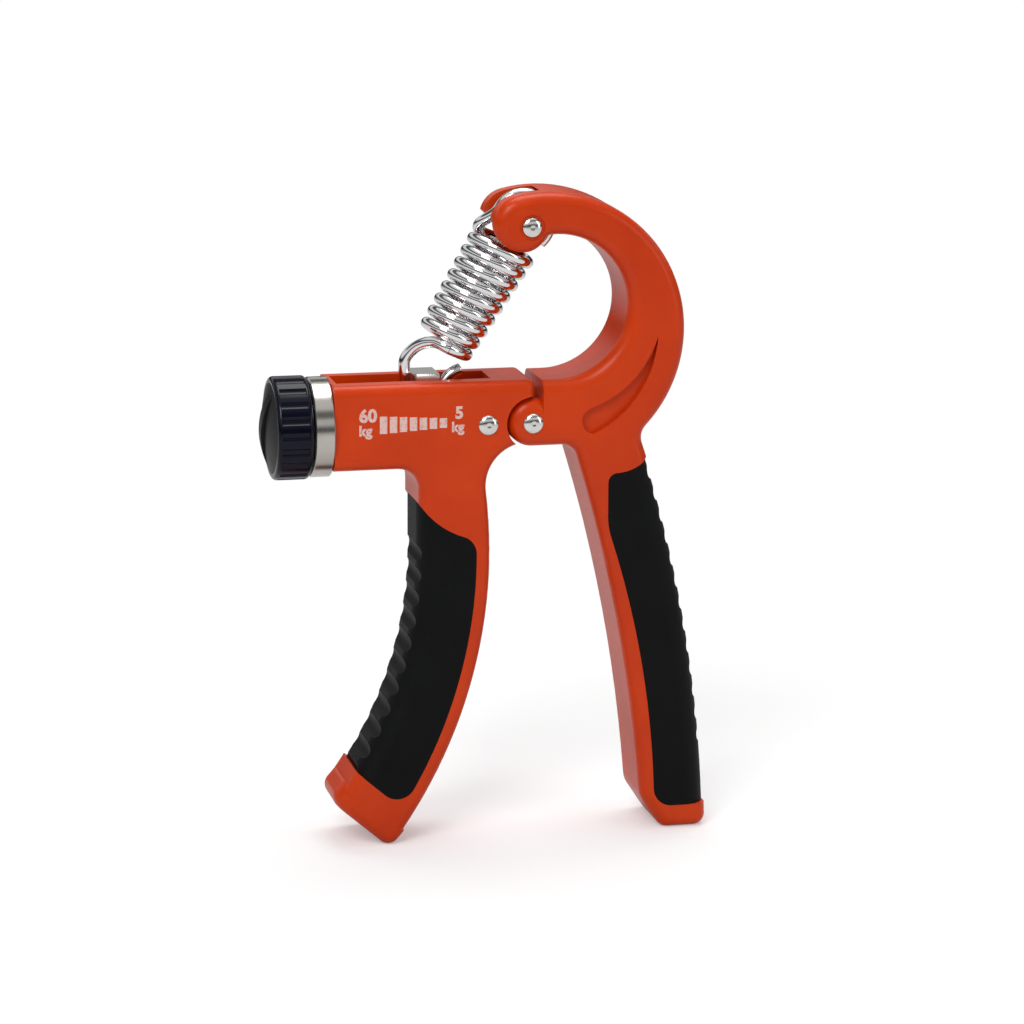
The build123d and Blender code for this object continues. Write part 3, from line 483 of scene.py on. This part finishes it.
def thread(name):
    """A threaded rod with plain ends."""
    sides = 48
    steps = int((screw_high.x - screw_low.x) / (THREAD_PITCH / 8))
    verts, faces = [], []
    for i in range(steps + 1):
        x = screw_low.x + (screw_high.x - screw_low.x) * i / steps
        for k in range(sides):
            turn = k / sides
            phase = ((x - screw_low.x) / THREAD_PITCH + turn) % 1.0
            cut = THREAD_DEPTH * (1 - abs(2 * phase - 1)) ** 0.8
            keep = 0.0 if slot_left < x < slot_right else 1.0
            r = RADIUS - cut * (1 - keep) - keep * PLAIN_STEP
            a = 2 * pi * turn
            verts.append(Vector((x, screw_mid.y + r * cos(a), screw_mid.z + r * sin(a))))
    for i in range(steps):
        for k in range(sides):
            m = (k + 1) % sides
            faces.append((i * sides + k, i * sides + m, (i + 1) * sides + m, (i + 1) * sides + k))
    faces.append(tuple(range(sides))[::-1])
    faces.append(tuple(range(steps * sides, steps * sides + sides)))
    return piece(name, verts, faces, "zinc_steel", "knob")


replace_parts(thread("screw_thread"), "lead_screw")

HEAD = [(-0.30, 2.40), (0.06, 2.40), (0.20, 2.33), (0.42, 2.10), (0.62, 1.75), (0.76, 1.30)]
HEAD += [(0.84, 0.85), (0.87, 0.55), (0.84, 0.40), (0.80, 0.22), (0.79, 0.05)]


def head(name, node_name, body, toward):
    """The domed end of a rivet with a small dimple left by the tool."""
    low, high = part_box(node_name)
    face = low.y if toward < 0 else high.y
    start = Vector(((low.x + high.x) / 2, face - toward * 0.9 * MM, (low.z + high.z) / 2))
    profile = [(along * MM, radius * MM) for along, radius in HEAD]
    return lathe(name, profile, start, (0, toward, 0), "rivet_steel", body, sides=64)


for rivet, body in (("fixing_rivet", "root"), ("hinge_rivet", "arm"), ("arm_rivet", "arm")):
    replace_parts(head(rivet + "_head", rivet, body, -1), rivet)
    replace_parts(head(rivet + "_tail", rivet + "_cap", body, 1), rivet + "_cap")

# ---------------------------------------------------------------- stage, light and camera

floor_mat, fn, fl, fs = new_material("floor")
fs.inputs["Base Color"].default_value = (0.74, 0.74, 0.74, 1)
fs.inputs["Roughness"].default_value = 0.9
fs.inputs["Specular IOR Level"].default_value = 0.1
glow = fn.new("ShaderNodeEmission")
glow.inputs["Strength"].default_value = 0.30
plain = fn.new("ShaderNodeEmission")
plain.inputs["Strength"].default_value = 1.0
both = fn.new("ShaderNodeAddShader")
fl.new(fs.outputs[0], both.inputs[0])
fl.new(glow.outputs[0], both.inputs[1])
geometry = fn.new("ShaderNodeNewGeometry")
away = fn.new("ShaderNodeVectorMath")
away.operation = "LENGTH"
fl.new(geometry.outputs["Position"], away.inputs[0])
far = spread(fn, fl, away.outputs["Value"], 0.0, 1.0, 0.14, 0.34)
fade = fn.new("ShaderNodeMixShader")
fl.new(far, fade.inputs["Fac"])
fl.new(both.outputs[0], fade.inputs[1])
fl.new(plain.outputs[0], fade.inputs[2])
seen = fn.new("ShaderNodeLightPath")
floor_pick = fn.new("ShaderNodeMixShader")
fl.new(seen.outputs["Is Camera Ray"], floor_pick.inputs["Fac"])
fl.new(fs.outputs[0], floor_pick.inputs[1])
fl.new(fade.outputs[0], floor_pick.inputs[2])
floor_out = next(n for n in fn if n.type == "OUTPUT_MATERIAL")
fl.new(floor_pick.outputs[0], floor_out.inputs["Surface"])
FLOOR_HALF = 3.0
floor_corners = [(x * FLOOR_HALF, y * FLOOR_HALF, 0) for x, y in ((-1, -1), (1, -1), (1, 1), (-1, 1))]
floor_mesh = bpy.data.meshes.new("floor")
floor_mesh.from_pydata(floor_corners, [], [(0, 1, 2, 3)])
floor = bpy.data.objects.new("floor", floor_mesh)
floor_mesh.materials.append(floor_mat)
bpy.context.scene.collection.objects.link(floor)

world = bpy.data.worlds.new("studio")
world.use_nodes = True
bpy.context.scene.world = world
wn, wl = world.node_tree.nodes, world.node_tree.links
wn.clear()
out = wn.new("ShaderNodeOutputWorld")
path = wn.new("ShaderNodeLightPath")
direction = wn.new("ShaderNodeTexCoord")
parts = wn.new("ShaderNodeSeparateXYZ")
wl.new(direction.outputs["Generated"], parts.inputs[0])
bands = ramp(wn, wl, parts.outputs["Z"], [
    (0.00, (0.03, 0.03, 0.03)),
    (0.12, (0.05, 0.05, 0.05)),
    (0.22, (0.85, 0.85, 0.85)),
    (0.42, (1.0, 1.0, 1.0)),
    (0.50, (0.10, 0.10, 0.10)),
    (0.68, (0.14, 0.14, 0.14)),
    (0.76, (1.0, 1.0, 1.0)),
])


def backdrop(strength, colour=None):
    made = wn.new("ShaderNodeBackground")
    made.inputs["Color"].default_value = (1, 1, 1, 1)
    made.inputs["Strength"].default_value = strength
    if colour is not None:
        wl.new(colour, made.inputs["Color"])
    return made.outputs[0]


def choose(test, other, chosen):
    made = wn.new("ShaderNodeMixShader")
    wl.new(path.outputs[test], made.inputs["Fac"])
    wl.new(other, made.inputs[1])
    wl.new(chosen, made.inputs[2])
    return made.outputs[0]


shown = choose("Is Glossy Ray", backdrop(0.38), backdrop(0.75, bands))
shown = choose("Is Camera Ray", shown, backdrop(1.0))
wl.new(shown, out.inputs["Surface"])


def lamp(name, place, aim, width, height, power):
    data = bpy.data.lights.new(name, "AREA")
    data.shape = "RECTANGLE"
    data.size, data.size_y = width, height
    data.energy = power
    obj = bpy.data.objects.new(name, data)
    obj.location = place
    direction = Vector(aim) - Vector(place)
    obj.rotation_euler = direction.to_track_quat("-Z", "Y").to_euler()
    bpy.context.scene.collection.objects.link(obj)
    return obj


aim = at(0, 0, -20)
lamp("key", (-0.45, -0.70, 0.85), aim, 0.5, 0.5, 6.0)
lamp("fill", (0.8, -0.7, 0.4), aim, 0.3, 0.8, 1.5)
lamp("top", (0.1, 0.2, 1.0), aim, 0.6, 0.6, 4.5)

yaw, pitch, roll = 0.2251, 0.2171, -0.0051
forward = Vector((sin(yaw) * cos(pitch), cos(yaw) * cos(pitch), -sin(pitch)))
rightward = forward.cross(Vector((0, 0, 1))).normalized()
upward = rightward.cross(forward)
turn = Matrix.Rotation(roll, 3, forward)
rightward, upward = turn @ rightward, turn @ upward
camera_data = bpy.data.cameras.new("camera")
camera_data.sensor_width = 36
camera_data.lens = 36 * 3949.1 / 1024
camera_data.clip_start, camera_data.clip_end = 0.05, 20
camera = bpy.data.objects.new("camera", camera_data)
rotation = Matrix((rightward, upward, -forward)).transposed().to_4x4()
camera.matrix_world = Matrix.Translation(at(-205.9, -887.2, 177.7)) @ rotation
bpy.context.scene.collection.objects.link(camera)
bpy.context.scene.camera = camera

view = bpy.context.scene.view_settings
view.view_transform = "Standard"
